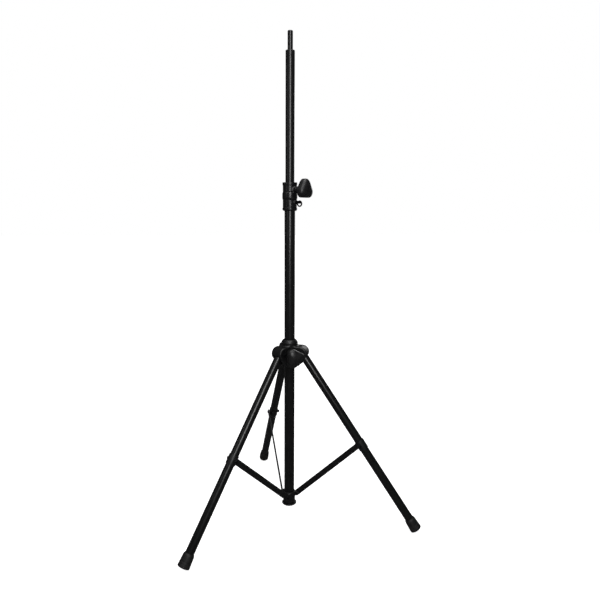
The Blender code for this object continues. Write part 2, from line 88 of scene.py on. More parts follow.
facing = heading(CAMERA_ROUND + CAMERA_ASIDE)
camera_place = column - heading(CAMERA_ROUND) * CAMERA_AWAY + UP * CAMERA_HEIGHT
camera_data = bpy.data.cameras.new("camera")
camera_data.sensor_width, camera_data.lens = SENSOR_WIDTH, CAMERA_LENS
camera = bpy.data.objects.new("camera", camera_data)
bpy.context.scene.collection.objects.link(camera)
aim(camera, camera_place, facing * math.cos(CAMERA_DOWN) - UP * math.sin(CAMERA_DOWN), CAMERA_ROLL)
bpy.context.scene.camera = camera
bpy.context.scene.view_settings.view_transform = "Standard"


def softbox(name, place, target, width, height, power):
    """Rectangular light that faces a point of the column."""
    data = bpy.data.lights.new(name, "AREA")
    data.shape, data.size, data.size_y, data.energy = "RECTANGLE", width, height, power
    light = bpy.data.objects.new(name, data)
    bpy.context.scene.collection.objects.link(light)
    aim(light, place, target - place)


aside = np.cross(facing, UP)
middle = column + UP * 0.95
softbox("softbox_front", column - facing * 2.7 + aside * 0.25 + UP * 2.2, middle, 0.6, 2.0, 44)
softbox("softbox_left", column - facing * 1.6 - aside * 2.2 + UP * 2.1, middle, 0.6, 1.4, 3)
softbox("softbox_top", column + UP * 3.6 - facing * 0.4, column, 2.4, 2.4, 60)
softbox("softbox_back", column + facing * 3.2 + aside * 1.2 + UP * 1.6, middle, 1.6, 1.8, 18)


def add_node(tree, kind, inputs=(), **settings):
    """Add a shader node, set its properties, and give each named input a value or a link."""
    node = tree.nodes.new(kind)
    for key, value in settings.items():
        setattr(node, key, value)
    for key, value in dict(inputs).items():
        if isinstance(value, bpy.types.NodeSocket):
            tree.links.new(value, node.inputs[key])
        else:
            node.inputs[key].default_value = value
    return node


def linear(code):
    """Linear colour of an sRGB hex code."""
    parts = [int(code[i:i + 2], 16) / 255 for i in (1, 3, 5)]
    return (*[p / 12.92 if p <= 0.04045 else ((p + 0.055) / 1.055) ** 2.4 for p in parts], 1.0)


def begin_material(name):
    """A new material, with its tree, its shader and the coordinates of the object that wears it."""
    material = bpy.data.materials.new(name)
    material.use_nodes = True
    tree = material.node_tree
    place = add_node(tree, "ShaderNodeTexCoord").outputs["Object"]
    return material, tree, tree.nodes["Principled BSDF"], place


def clouds(tree, place, scale, detail):
    """Soft random pattern, with scale patches to the metre."""
    return add_node(tree, "ShaderNodeTexNoise",
                    {"Vector": place, "Scale": scale, "Detail": detail}).outputs[0]


def between(tree, share, first, second):
    """Colour that goes from one hex code to another with a share."""
    mix = add_node(tree, "ShaderNodeMix", {0: share, "A": linear(first), "B": linear(second)},
                   data_type="RGBA")
    return mix.outputs["Result"]


def remapped(tree, value, low, high, to_low, to_high):
    """A value carried from one range to another, and held at its ends."""
    return add_node(tree, "ShaderNodeMapRange", {"Value": value, "From Min": low, "From Max": high,
                                                 "To Min": to_low, "To Max": to_high}).outputs[0]


def relief(tree, height, strength, distance):
    """Normal of a fine relief."""
    return add_node(tree, "ShaderNodeBump", {"Height": height, "Strength": strength,
                                             "Distance": distance}).outputs[0]


def pale_floor():
    """Seamless paper sweep: matt, near white, faintly mottled, and lit more the further away it is."""
    material, tree, paper, place = begin_material("seamless_paper")
    mottle = clouds(tree, place, 9.0, 3.0)
    tint = between(tree, mottle, "#F4F4F4", "#FAFAFA")
    tree.links.new(tint, paper.inputs["Base Color"])
    paper.inputs["Roughness"].default_value = 0.95
    paper.inputs["Specular IOR Level"].default_value = 0.1
    paper.inputs["Emission Color"].default_value = linear("#FFFFFF")
    away = add_node(tree, "ShaderNodeVectorMath", {0: place}, operation="LENGTH").outputs["Value"]
    glow = remapped(tree, away, 0.8, 4.0, 0.88, 1.20)
    tree.links.new(glow, paper.inputs["Emission Strength"])
    return material


FLOOR_REACH, FLOOR_DROP = 30.0, 0.0002
floor_mesh = bpy.data.meshes.new("floor")
floor_mesh.from_pydata([(x * FLOOR_REACH, y * FLOOR_REACH, -FLOOR_DROP)
                        for x, y in ((-1, -1), (1, -1), (1, 1), (-1, 1))], [], [(0, 1, 2, 3)])
floor = bpy.data.objects.new("floor", floor_mesh)
bpy.context.scene.collection.objects.link(floor)
floor.data.materials.append(pale_floor())
floor.visible_glossy = False

world = bpy.data.worlds.new("studio")
world.use_nodes = True
bpy.context.scene.world = world
seen = add_node(world.node_tree, "ShaderNodeLightPath").outputs["Is Camera Ray"]
level = add_node(world.node_tree, "ShaderNodeMapRange", {"Value": seen, "To Min": 0.05, "To Max": 1.0})
world.node_tree.links.new(level.outputs[0], world.node_tree.nodes["Background"].inputs["Strength"])
world.node_tree.nodes["Background"].inputs["Color"].default_value = linear("#FFFFFF")


# ---- Outer tube ---------------------------------------------------------------------------------
# Welded steel tube, 42 mm, powder coated black. The powder is sprayed on dry and baked, which leaves
# a satin skin with a fine orange peel. Its ends are deburred before coating.
TUBE_WALL, TUBE_EDGE = 0.0012, 0.0004
THROUGH_TUBE, THROUGH_SLEEVE, WALL_IN, WALL_OUT = 0.030, 0.040, 0.010, 0.030   # reach of the drills
ROUND_SIDES = 96
SHARP = math.radians(35)
MM, GAP = 0.001, 0.0003      # a millimetre, and the clearance that fitted parts keep


def powder_coat():
    """Baked polyester powder on steel: satin black, with a 1.5 mm orange peel and grit in the gloss."""
    material, tree, coat, place = begin_material("powder_coated_steel")
    cloud = clouds(tree, place, 1 / (40 * MM), 2.0)
    grit = clouds(tree, place, 1 / (0.7 * MM), 2.0)
    peel = clouds(tree, place, 1 / (1.5 * MM), 1.0)
    tint = between(tree, cloud, "#070708", "#0C0C0C")
    both = add_node(tree, "ShaderNodeMath", {0: cloud, 1: grit}, operation="ADD").outputs[0]
    gloss = remapped(tree, both, 0.6, 1.4, 0.25, 0.33)
    bump = relief(tree, peel, 0.35, 0.03 * MM)
    tree.links.new(tint, coat.inputs["Base Color"])
    tree.links.new(gloss, coat.inputs["Roughness"])
    tree.links.new(bump, coat.inputs["Normal"])
    return material


def axes_at(origin, out, along):
    """A place for a piece: an origin, and its X, Y and Z axes, where Y is Z crossed with X."""
    out, along = np.array(out, float), np.array(along, float)
    return np.array(origin, float), np.array([out, np.cross(along, out), along])


def skin(grid, closed=False):
    """Points and faces of a surface through a grid, one closed loop a row. Rows that shrink to a point
    make poles, and a closed skin also joins its last row to its first."""
    rows, sides = grid.shape[:2]
    index = np.arange(rows * sides).reshape(rows, sides)
    low = index if closed else index[:-1]
    high = np.roll(index, -1, axis=0) if closed else index[1:]
    faces = np.stack([low, np.roll(low, -1, 1), np.roll(high, -1, 1), high], axis=-1)
    return grid.reshape(-1, 3), faces.reshape(-1, 4)


def turned(profile, sides=ROUND_SIDES, closed=False):
    """A profile of (radius, height) carried round Z: x = radius cos(angle), y = radius sin(angle)."""
    profile = np.asarray(profile, float)
    angle = np.linspace(0, 2 * math.pi, sides, endpoint=False)
    radius, height = profile[:, :1], profile[:, 1:]
    return skin(np.stack([radius * np.cos(angle), radius * np.sin(angle),
                          height + 0 * angle], axis=-1), closed)


def rounded(corners, radius, closed=True, steps=5):
    """An outline whose corners are arcs. An arc's centre is on the corner's bisector, radius over the
    sine of half the corner away, and its points swing from one side's foot to the other's."""
    corners = np.asarray(corners, float)
    radius = np.array(np.broadcast_to(radius, len(corners)), float)
    if not closed:
        radius[[0, -1]] = 0
    before = np.roll(corners, 1, axis=0) - corners
    after = np.roll(corners, -1, axis=0) - corners
    before /= np.linalg.norm(before, axis=1, keepdims=True)
    after /= np.linalg.norm(after, axis=1, keepdims=True)
    half = np.arccos(np.clip((before * after).sum(1), -0.999999, 0.999999))[:, None] / 2
    inward = before + after
    inward /= np.maximum(np.linalg.norm(inward, axis=1, keepdims=True), 1e-9)
    first = before / np.tan(half) - inward / np.sin(half)
    last = after / np.tan(half) - inward / np.sin(half)
    share = np.linspace(0, 1, steps + 1)[None, :, None]
    sweep = (math.pi - 2 * half)[:, None]
    swing = (np.sin((1 - share) * sweep) * first[:, None] + np.sin(share * sweep) * last[:, None])
    swing /= np.sin(sweep)
    centre = corners + inward * radius[:, None] / np.sin(half)
    return (centre[:, None] + radius[:, None, None] * swing).reshape(-1, 2)


def make(name, shape, place=None):
    """A mesh object from points and faces, its doubles merged and its faces turned outwards."""
    points, faces = shape
    if place is not None:
        points = points @ place[1] + place[0]
    mesh = bpy.data.meshes.new(name)
    mesh.from_pydata(points.tolist(), [], faces.tolist())
    work = bmesh.new()
    work.from_mesh(mesh)
    bmesh.ops.remove_doubles(work, verts=work.verts, dist=1e-6)
    bmesh.ops.recalc_face_normals(work, faces=work.faces)
    work.to_mesh(mesh)
    work.free()
    mesh.shade_smooth()
    mesh.set_sharp_from_angle(angle=SHARP)
    piece = bpy.data.objects.new(name, mesh)
    bpy.context.scene.collection.objects.link(piece)
    return piece


def fit(piece, body, material, slot, *nodes):
    """Give a piece its finish and the body it rides on, in place of its plain nodes."""
    piece.data.materials.clear()
    piece.data.materials.append(material)
    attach(piece, body)
    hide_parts(*nodes)


def tube(inner, outer, low, high, edge=TUBE_EDGE):
    """A pipe along Z: its wall's rectangle, with rounded corners, carried round the axis."""
    corners = [(inner, low), (outer, low), (outer, high), (inner, high)]
    return turned(rounded(corners, edge), closed=True)


def cut(piece, *tools, operation="DIFFERENCE"):
    """Cut shapes out of a piece, or add them to it, for good."""
    for number, tool in enumerate(tools):
        other = make(f"{piece.name}_tool_{number}", *tool)
        modifier = piece.modifiers.new("cut", "BOOLEAN")
        modifier.operation, modifier.solver, modifier.object = operation, "EXACT", other
        result = piece.evaluated_get(bpy.context.evaluated_depsgraph_get())
        mesh = bpy.data.meshes.new_from_object(result)
        piece.modifiers.clear()
        piece.data = mesh
        bpy.data.objects.remove(other)
    piece.data.shade_smooth()
    piece.data.set_sharp_from_angle(angle=SHARP)


def rod(radius, low, high, sides=48, edge=0.0):
    """A plain round bar along Z."""
    corners = [(0, low), (radius, low), (radius, high), (0, high)]
    return turned(rounded(corners, edge, closed=False), sides)


column_place = axes_at(column, (1, 0, 0), UP)
joints = {joint["name"]: joint for joint in frame["record"]["behaviour"]["joints"]}
outer_r = (tube_high - tube_low)[0] / 2
steel_tube = powder_coat()
outer_wall = tube(outer_r - TUBE_WALL, outer_r, tube_low[2], tube_high[2])
fit(make("outer_tube_coated", outer_wall, column_place),
    "column", steel_tube, "powder_coat", "outer_tube")


# ---- Height collar ------------------------------------------------------------------------------
# Glass-filled nylon moulding pressed over the top of the outer tube. Bands with grooves between them
# stiffen it, a boss takes the clamp's screw and a smaller one guides the safety pin. It comes out of
# a polished tool, so it is glossier than the other mouldings.
COLLAR_STEP, BLEND = 0.0010, 0.0040
BAND_R, FLANGE_R, BULGE_R, GROOVE_R = 0.02765, 0.0290, 0.0296, 0.0264
KNOB_BOSS_R, PIN_BOSS_R, SCREW_HOLE_R, BOSS_START = 0.0130, 0.0085, 0.0043, 0.020
MOUTH_R, SEAT_BELOW_TOP, GRUB_Z, GRUB_HOLE_R = 0.0181, 0.0095, 1.3070, 0.0028


def moulding(name, rough, grain):
    """Glass-filled nylon: near black, faintly mottled by the fibres, with the tool's fine grain."""
    material, tree, nylon, place = begin_material(name)
    flow = clouds(tree, place, 1 / (12 * MM), 4.0)
    spark = clouds(tree, place, 1 / (0.6 * MM), 3.0)
    tint = between(tree, flow, "#060607", "#0E0E0F")
    gloss = remapped(tree, flow, 0.3, 0.7, rough - 0.04, rough + 0.05)
    bump = relief(tree, spark, grain, 0.05 * MM)
    tree.links.new(tint, nylon.inputs["Base Color"])
    tree.links.new(gloss, nylon.inputs["Roughness"])
    tree.links.new(bump, nylon.inputs["Normal"])
    return material


def outline_distance(across, along, corners):
    """Distance from each point to a closed outline, negative inside it: the nearest of the distances
    to the sides, with its sign flipped once for each side that a ray crosses."""
    best = np.full(np.shape(across), np.inf)
    sign = np.ones(np.shape(across))
    corners = np.asarray(corners, float)
    for (ax, az), (bx, bz) in zip(corners, np.roll(corners, -1, axis=0)):
        ex, ez, wx, wz = bx - ax, bz - az, across - ax, along - az
        share = np.clip((wx * ex + wz * ez) / max(ex * ex + ez * ez, 1e-18), 0, 1)
        best = np.minimum(best, (wx - ex * share) ** 2 + (wz - ez * share) ** 2)
        crosses = ((az > along) != (bz > along))
        left = ex * (along - az) - ez * wx
        sign = np.where(crosses & ((left > 0) == (ez > 0)), -sign, sign)
    return sign * np.sqrt(best)


def blend(first, second, reach=BLEND):
    """Smallest of two distances, with a fillet: less a quarter of the square of how near they are."""
    near = np.maximum(reach - np.abs(first - second), 0) / reach
    return np.minimum(first, second) - near * near * reach / 4


def thick(flat, side, half, edge):
    """Distance to an outline given a thickness, from the distance in its plane and across it, with
    its edges rounded: the length of what is outside the shape shrunk by the edge, less the edge."""
    a, b = flat + edge, np.abs(side) - half + edge
    return np.hypot(np.maximum(a, 0), np.maximum(b, 0)) + np.minimum(np.maximum(a, b), 0) - edge


def bar_distance(a, b, along, radius, low, high, edge=0.001):
    """Distance to a round bar, from the two directions across it and the one along it."""
    return thick(np.hypot(a, b) - radius, along - (low + high) / 2, (high - low) / 2, edge)


def moulded(field, low, high, step):
    """Surface where a distance field is zero. Each cell of a cubic grid that the surface crosses has
    one point, the mean of the crossings on its edges, moved onto the surface down the field's slope.
    Each grid edge that the surface crosses has one square, through its four cells' points."""
    ticks = [np.arange(a, b + step, step) for a, b in zip(low, high)]
    nodes = np.stack(np.meshgrid(*ticks, indexing="ij"), axis=-1)
    value = field(nodes)
    cells = tuple(n - 1 for n in value.shape)
    total, count, squares = np.zeros((*cells, 3)), np.zeros(cells), []
    for axis in range(3):
        here = [slice(None)] * 3
        here[axis] = slice(0, -1)
        there = list(here)
        there[axis] = slice(1, None)
        a, b = value[tuple(here)], value[tuple(there)]
        crosses = (a < 0) != (b < 0)
        share = np.where(crosses, a / np.where(crosses, a - b, 1), 0)
        point = nodes[tuple(here)].copy()
        point[..., axis] += share * step
        point *= crosses[..., None]
        u, v = (other for other in range(3) if other != axis)
        for du in (slice(0, -1), slice(1, None)):
            for dv in (slice(0, -1), slice(1, None)):
                part = [slice(None)] * 3
                part[u], part[v] = du, dv
                total += point[tuple(part)]
                count += crosses[tuple(part)]
        at = np.argwhere(crosses)
        corners = np.repeat(at[:, None], 4, axis=1)
        corners[:, (0, 3), u] -= 1
        corners[:, (0, 1), v] -= 1
        squares.append(corners)
    index = np.full(cells, -1)
    index[count > 0] = np.arange((count > 0).sum())
    points = total[count > 0] / count[count > 0][:, None]
    faces = index[tuple(np.moveaxis(np.concatenate(squares), -1, 0))]
    nudge = step / 50
    for _ in range(3):
        slope = np.stack([(field(points + nudge * e) - field(points - nudge * e)) / (2 * nudge)
                          for e in np.eye(3)], axis=-1)
        fall = field(points)[:, None] * slope / np.maximum((slope ** 2).sum(1), 0.25)[:, None]
        points = points - np.clip(fall, -step / 2, step / 2)
    return points, faces


collar_low, collar_high = box("height_collar")
knob_joint = joints["collar_knob_turn"]
collar_out = np.array(knob_joint["axis"], float)
collar_round = np.cross(UP, collar_out)
knob_z, pin_z = knob_joint["pos_m"][2], joints["ring_swing"]["pos_m"][2]
bottom, top = collar_low[2], collar_high[2]
COLLAR_PROFILE = rounded(
    [(0, bottom), (0.0240, bottom), (FLANGE_R, bottom + 0.0045), (FLANGE_R, bottom + 0.0120),
     (GROOVE_R, bottom + 0.0128), (BAND_R, bottom + 0.0144), (BAND_R, knob_z - 0.0405),
     (GROOVE_R, knob_z - 0.0392), (0.0284, knob_z - 0.0376), (BULGE_R, knob_z - 0.0310),
     (BULGE_R, knob_z - 0.0160), (0.0284, knob_z - 0.0098), (GROOVE_R, knob_z - 0.0085),
     (BAND_R, knob_z - 0.0070), (BAND_R, top - 0.0112), (FLANGE_R, top - 0.0100),
     (FLANGE_R, top), (0, top)], 0.0006, steps=2)
SCREW_END, PIN_BOSS_END = 0.0365, 0.0335


def collar_field(p):
    """The turned profile, with the two bosses blended in, and the tube's seat, the mast's mouth, the
    screw's, the pin's and the grub screw's holes taken out."""
    out, side, z = p @ collar_out, p @ collar_round, p[..., 2]
    radius = np.hypot(out, side)
    body = outline_distance(radius, z, COLLAR_PROFILE)
    body = blend(body, bar_distance(side, z - knob_z, out, KNOB_BOSS_R, BOSS_START, SCREW_END))
    body = blend(body, bar_distance(side, z - pin_z, out, PIN_BOSS_R, BOSS_START, PIN_BOSS_END), 0.003)
    seat = np.maximum(radius - outer_r - GAP, z - (top - SEAT_BELOW_TOP))
    mouth = radius - MOUTH_R
    screw = np.maximum(np.hypot(side, z - knob_z) - SCREW_HOLE_R, -out)
    pin = np.maximum(np.hypot(side, z - pin_z) - SCREW_HOLE_R, -out)
    grub = np.maximum(np.hypot(side, z - GRUB_Z) - GRUB_HOLE_R, out)
    return np.maximum(body, -np.minimum.reduce([seat, mouth, screw, pin, grub]))


reach = 0.040
collar_box = np.array([-reach, -reach, bottom - 0.002]), np.array([reach, reach, top + 0.003])
collar_nylon = moulding("polished_glass_filled_nylon", 0.30, 0.10)
fit(make("height_collar_moulding", moulded(collar_field, *collar_box, COLLAR_STEP), column_place),
    "column", collar_nylon, "moulding", "height_collar")


# ---- Parts in the collar ------------------------------------------------------------------------
# A turned nylon bush takes up the play between the tubes. The clamp's screw pushes a nylon pad
# through a window in it, so that the steel never marks the mast. A grub screw stops the collar.
BUSH_PLAY, PAD_R, PAD_THICK, WINDOW_R = 0.0003, 0.0050, 0.0025, 0.0053
GRUB_R, GRUB_IN, GRUB_OUT, GRUB_KEY_R, GRUB_KEY_DEPTH = 0.0025, 0.0213, 0.0275, 0.0013, 0.0025


def bearing_nylon():
    """Unfilled black nylon, turned: smooth and a little waxy, with the lathe's fine marks."""
    material, tree, nylon, place = begin_material("turned_black_nylon")
    waxy = clouds(tree, place, 1 / (8 * MM), 2.0)
    wave = {"Vector": place, "Scale": 1 / (3 * MM), "Distortion": 1.5}
    marks = add_node(tree, "ShaderNodeTexWave", wave, bands_direction="Z").outputs[0]
    tint = between(tree, waxy, "#151516", "#1E1E1F")
    bump = relief(tree, marks, 0.15, 0.02 * MM)
    tree.links.new(tint, nylon.inputs["Base Color"])
    tree.links.new(bump, nylon.inputs["Normal"])
    nylon.inputs["Roughness"].default_value = 0.38
    return material


def black_oxide():
    """Blackened steel: the oxide is thin, so it stays metallic, darker and duller in cloudy patches."""
    material, tree, steel, place = begin_material("black_oxide_steel")
    patch = clouds(tree, place, 1 / (5 * MM), 4.0)
    tint = between(tree, patch, "#151517", "#2B2B2E")
    dull = remapped(tree, patch, 0.3, 0.7, 0.30, 0.46)
    tree.links.new(tint, steel.inputs["Base Color"])
    tree.links.new(dull, steel.inputs["Roughness"])
    steel.inputs["Metallic"].default_value = 0.9
    return material


mast_low, mast_high = box("inner_tube")
mast_r = (mast_high - mast_low)[0] / 2
bush_low, bush_high = box("collar_bush")
knob_place = axes_at(column + UP * knob_z, -UP, collar_out)
pin_place = axes_at(column + UP * pin_z, -UP, collar_out)
grub_place = axes_at(column + UP * GRUB_Z, -UP, -collar_out)
slick_nylon, dark_steel = bearing_nylon(), black_oxide()
bush_wall = tube(mast_r + BUSH_PLAY, outer_r, bush_low[2], bush_high[2])
bush = make("collar_bush_turned", bush_wall, column_place)
cut(bush, (rod(WINDOW_R, WALL_IN, WALL_OUT), knob_place))
fit(bush, "column", slick_nylon, "nylon", "collar_bush")
collar_pad = rod(PAD_R, mast_r + GAP, mast_r + GAP + PAD_THICK, edge=0.0004)
fit(make("collar_pad_turned", collar_pad, knob_place),
    "column", slick_nylon, "nylon", "collar_pressure_pad")
grub = make("grub_screw", rod(GRUB_R, GRUB_IN, GRUB_OUT, edge=0.0003), grub_place)
cut(grub, (rod(GRUB_KEY_R, GRUB_OUT - GRUB_KEY_DEPTH, GRUB_OUT + 0.001, 6), grub_place))
fit(grub, "column", dark_steel, "black_steel", "collar_grub_screw")


# ---- Foot of the column -------------------------------------------------------------------------
# A nylon ring round the end of the outer tube carries the braces: three lugs stand off it, each
# bored for a bolt. A moulded plug with a flange closes the tube below it.
RING_FILLET, LUG_IN, LUG_OUT, LUG_R, LUG_REACH = 0.0030, 0.0080, 0.0213, 0.0090, 0.0120
LUG_HOLE_R, FOOT_COLLAR_STEP, FOOT_RING_R = 0.0033, 0.0010, 0.0250
leg_names = ("rear", "left", "right")
spokes = {}
for name in leg_names:
    spoke_round = np.array(joints[f"leg_fold_{name}"]["axis"], float)
    spokes[name] = np.cross(spoke_round, UP), spoke_round


def folded(p):
    """Distances along and across the nearest of three spokes: the angle from the rear one, taken to
    the third of a turn that is centred on it."""
    angle = np.arctan2(p[..., 1], p[..., 0]) - math.pi / 6
    angle = np.mod(angle, 2 * math.pi / 3) - math.pi / 3
    radius = np.hypot(p[..., 0], p[..., 1])
    return radius * np.cos(angle), radius * np.sin(angle)


foot_collar_low, foot_collar_high = box("bottom_collar")
brace_foot = np.array(joints["brace_fold_rear"]["pos_m"], float) - column
brace_foot_r, brace_foot_z = math.hypot(brace_foot[0], brace_foot[1]), brace_foot[2]


def foot_collar_field(p):
    """A round bar and three lugs, each a bar's length of rounded slab, less the bore and the holes.
    The braces' side of each lug is kept flat."""
    u, t = folded(p)
    z = p[..., 2]
    low, high = foot_collar_low[2], foot_collar_high[2]
    body = bar_distance(u, t, z, FOOT_RING_R, low, high, 0.0020)
    along = u - np.clip(u, LUG_REACH, brace_foot_r)
    lug = thick(np.hypot(along, z - brace_foot_z) - LUG_R, t - (LUG_IN + LUG_OUT) / 2,
                (LUG_OUT - LUG_IN) / 2, 0.0010)
    body = blend(body, lug, RING_FILLET)
    body = np.maximum(body, np.minimum(t - LUG_OUT, u - 0.0160))
    hole = np.maximum(np.hypot(u - brace_foot_r, z - brace_foot_z) - LUG_HOLE_R, -t)
    return np.maximum(body, -np.minimum(np.hypot(u, t) - outer_r - GAP, hole))


span = brace_foot_r + LUG_R + 0.006
textured_nylon = moulding("textured_glass_filled_nylon", 0.40, 0.22)
fit(make("brace_ring_moulding",
         moulded(foot_collar_field, (-span, -span, foot_collar_low[2] - 0.002),
                 (span, span, foot_collar_high[2] + 0.003), FOOT_COLLAR_STEP), column_place),
    "column", textured_nylon, "moulding", "bottom_collar")
cap_low, cap_high = box("bottom_cap")
cap_r, plug_r, flange_top = (cap_high - cap_low)[0] / 2, outer_r - 0.0015, cap_low[2] + 0.0067
fit(make("end_cap_moulding", turned(rounded(
    [(0, cap_low[2] + 0.0010), (0.0180, cap_low[2] + 0.0010), (0.0195, cap_low[2]),
     (cap_r, cap_low[2]), (cap_r, flange_top), (plug_r, flange_top), (plug_r, cap_high[2]),
     (plug_r - 0.0020, cap_high[2]), (plug_r - 0.0020, flange_top), (0, flange_top)],
    (0, 0.0004, 0.0004, 0.0026, 0.0026, 0.0002, 0.0006, 0.0004, 0.0006, 0), closed=False)),
    column_place),
    "column", textured_nylon, "moulding", "bottom_cap")


# ---- Mast ---------------------------------------------------------------------------------------
# A 35 mm steel tube, powder coated, drilled through for the safety pin. A nylon plug with a flat
# shoulder closes its top and holds the thin steel spigot. A nylon bush guides its lower end.
PIN_PITCH, PIN_HOLES, PIN_HOLE_R = 0.150, 3, 0.0043
SHOULDER, SPIGOT_R, STUD_R, SEAT_DEPTH = 0.0027, 0.0100, 0.0050, 0.0010
spigot_low, spigot_high = box("spigot")
plug_low, plug_high = box("top_plug")
mast_wall = tube(mast_r - TUBE_WALL, mast_r, mast_low[2], mast_high[2])
mast_tube = make("mast_tube_coated", mast_wall, column_place)
cut(mast_tube, *[(rod(PIN_HOLE_R, -THROUGH_TUBE, THROUGH_TUBE),
                  axes_at(column + UP * (pin_z - PIN_PITCH * step), -UP, collar_out))
                 for step in range(PIN_HOLES)])
fit(mast_tube, "mast", steel_tube, "powder_coat", "inner_tube")
inside_r, top_z = mast_r - 0.0015, plug_high[2]
stud_low, seat_z = spigot_low[2], top_z - SEAT_DEPTH
fit(make("top_plug_moulding", turned(rounded(
    [(0, plug_low[2]), (inside_r, plug_low[2]), (inside_r, top_z - SHOULDER),
     (mast_r, top_z - SHOULDER), (mast_r, top_z), (SPIGOT_R + GAP, top_z), (SPIGOT_R + GAP, seat_z - GAP),
     (STUD_R + GAP, seat_z - GAP), (STUD_R + GAP, stud_low - GAP), (0, stud_low - GAP)],
    (0, 0.001, 0.0001, 0.0003, 0.0009, 0.0002, 0, 0, 0, 0), closed=False)), column_place),
    "mast", textured_nylon, "moulding", "top_plug")
fit(make("spigot_coated", turned(rounded(
    [(0, stud_low), (STUD_R, stud_low), (STUD_R, seat_z), (SPIGOT_R, seat_z),
     (SPIGOT_R, spigot_high[2] - 0.0015), (SPIGOT_R - 0.0015, spigot_high[2]), (0, spigot_high[2])],
    (0, 0.0005, 0, 0.0002, 0.0008, 0.0008, 0), closed=False)), column_place),
    "mast", steel_tube, "powder_coat", "spigot")
guide_low, guide_high = box("mast_guide_bush")
guide_wall = tube(mast_r + GAP, outer_r - TUBE_WALL - GAP, guide_low[2], guide_high[2], 0.0006)
fit(make("mast_bush_turned", guide_wall, column_place), "mast", slick_nylon, "nylon", "mast_guide_bush")


# ---- Clamping knobs -----------------------------------------------------------------------------
# Three-lobed knobs moulded in glass-filled nylon round the head of an 8 mm screw. The lobes flare from
# a round stem, the rim is full and the face is slightly domed.
STEM_R, STEM_LENGTH, FLARE_END, RIM_END, KNOB_LENGTH = 0.0115, 0.0070, 0.0250, 0.0390, 0.0580
KNOB_SIDES, FLARE_ROWS, DOME_ROWS = 144, 22, 20
LOBE_OFFSET, LOBE_R, CLAMP_SCREW_R, SCREW_IN_KNOB = 0.0198, 0.0210, 0.0040, 0.0240
COLLAR_KNOB_BASE, HUB_KNOB_BASE, COLLAR_TIP, HUB_TIP = 0.0375, 0.0495, 0.0031, 0.0021
COLLAR_LOBE, HUB_LOBE = math.radians(180), math.radians(93)


def knob(base, phase):
    """Rows of a rounded triangle. Near a lobe its radius is the lobe's centre distance d times the
    cosine of the angle, plus the root of r squared less the square of d times the sine. Between
    lobes it is d / 2 + r over the cosine of the angle from the flat's middle. d and r grow together
    along the flare, and shrink together over the domed face."""
    share = np.linspace(0, 1, FLARE_ROWS)
    spread = share ** 0.8 * (1 - 0.04 * share ** 6)
    dome = np.radians(np.linspace(0, 90, DOME_ROWS))
    full = np.concatenate([[0, 0, 0], spread[1:], [0.985, 1], np.cos(dome) ** 0.92])
    high = np.concatenate([[0, 0, STEM_LENGTH], STEM_LENGTH + (FLARE_END - STEM_LENGTH) * share[1:],
                           [FLARE_END + 0.0006, FLARE_END + 0.0022],
                           RIM_END + (KNOB_LENGTH - RIM_END) * 0.94 * np.sin(dome)])
    d = (LOBE_OFFSET * full)[:, None]
    r = (STEM_R + (LOBE_R - STEM_R) * full)[:, None]
    r[-DOME_ROWS:, 0] = LOBE_R * full[-DOME_ROWS:]
    r[0] = 0
    angle = np.linspace(0, 2 * math.pi, KNOB_SIDES, endpoint=False)
    near = np.abs(np.mod(angle - phase + math.pi / 3, 2 * math.pi / 3) - math.pi / 3)[None, :]
    lobe = d * np.cos(near) + np.sqrt(np.maximum(r * r - (d * np.sin(near)) ** 2, 0))
    flat = (d / 2 + r) / np.cos(math.pi / 3 - near)
    radius = np.where(near <= np.arctan2(r * math.sin(math.pi / 3), d + r / 2), lobe, flat)
    return skin(np.stack([radius * np.cos(angle), radius * np.sin(angle),
                          base + high[:, None] + 0 * radius], axis=-1))


hub_joint = joints["hub_knob_turn"]
hub_out, hub_knob_z = np.array(hub_joint["axis"], float), hub_joint["pos_m"][2]
hub_knob_place = axes_at(column + UP * hub_knob_z, -UP, hub_out)
clamps = (("collar_knob", knob_place, COLLAR_KNOB_BASE, COLLAR_LOBE, mast_r + COLLAR_TIP),
          ("hub_knob", hub_knob_place, HUB_KNOB_BASE, HUB_LOBE, outer_r + HUB_TIP))
for name, place, base, phase, tip in clamps:
    grip = make(f"{name}_moulding", knob(base, phase), place)
    cut(grip, (rod(CLAMP_SCREW_R + GAP, base - 0.001, base + SCREW_IN_KNOB + GAP), place))
    fit(grip, name, textured_nylon, "moulding", name)
    fit(make(f"{name}_stud", rod(CLAMP_SCREW_R, tip, base + SCREW_IN_KNOB, edge=0.0006), place),
        name, dark_steel, "black_steel", f"{name}_screw")


# ---- Safety pin and its ring --------------------------------------------------------------------
# A blackened steel pin goes through the wall of the collar. Its outer end is forked, with a rod across
# the fork, and a ring of round wire hangs on the rod to pull the pin by.
PIN_R, PIN_END, FORK_START, FORK_R, FORK_SLOT = 0.0040, 0.0515, 0.0338, 0.0062, 0.0064
ROD_R, ROD_AT, ROD_HALF, RING_R, WIRE_R = 0.0014, 0.0472, 0.0055, 0.0098, 0.0028
SLOT_FLOOR = ROD_AT - RING_R - WIRE_R - 0.0006


